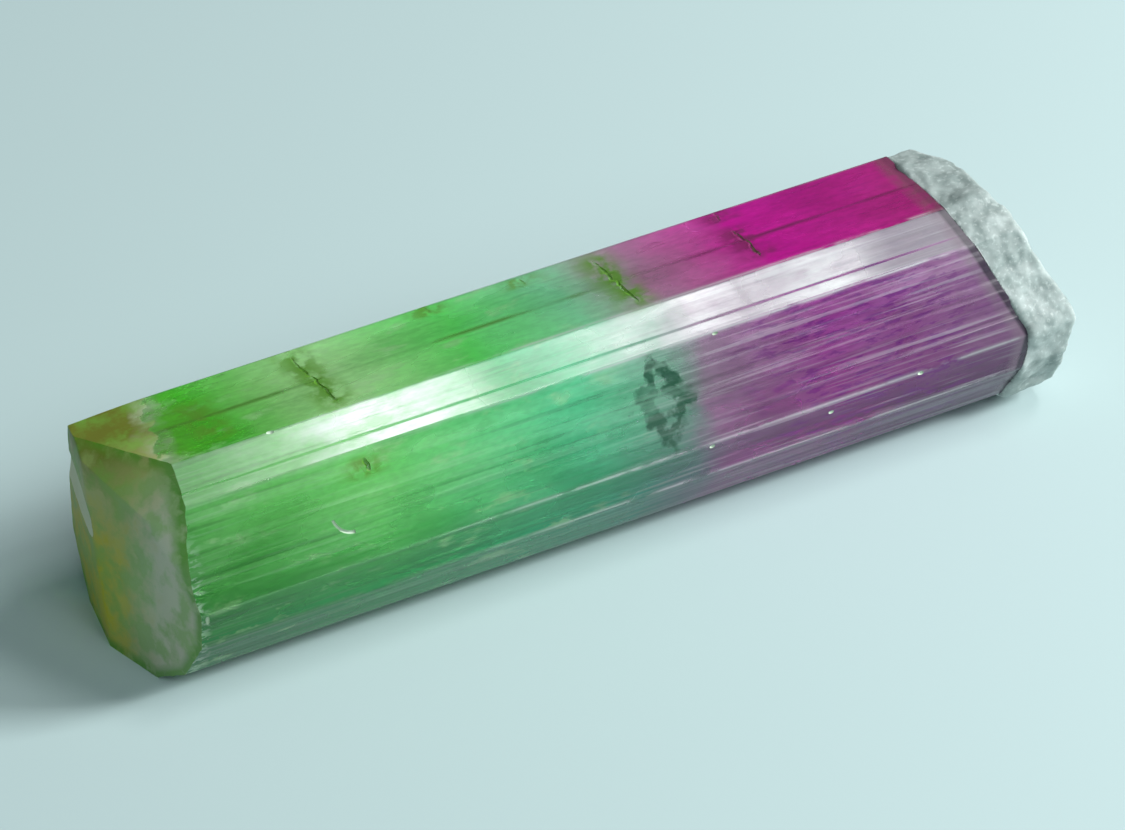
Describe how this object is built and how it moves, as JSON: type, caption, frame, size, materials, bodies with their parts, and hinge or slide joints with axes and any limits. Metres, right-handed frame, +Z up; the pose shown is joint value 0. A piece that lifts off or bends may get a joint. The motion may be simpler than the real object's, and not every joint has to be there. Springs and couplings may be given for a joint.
{
  "type": "tourmaline crystal",
  "caption": "Two-coloured prismatic crystal, green to pink, striated along its length, with a broken end and a white granular crust on its natural tip.",
  "frame": {"origin": "on the resting face, under the middle of the bounding box", "axes": "+X along the crystal's long (c) axis from the broken green end to the crusted pink end, +Z up"},
  "size_m": [0.041, 0.0104, 0.0088],
  "materials": {
    "tourmaline": "striated growth faces, vitreous, see-through; broken end frosted",
    "white_crust": "sugary granular, matt"
  },
  "bodies": {
    "root": {"crystal": "tourmaline", "end_crust": "white_crust"}
  },
  "joints": []
}
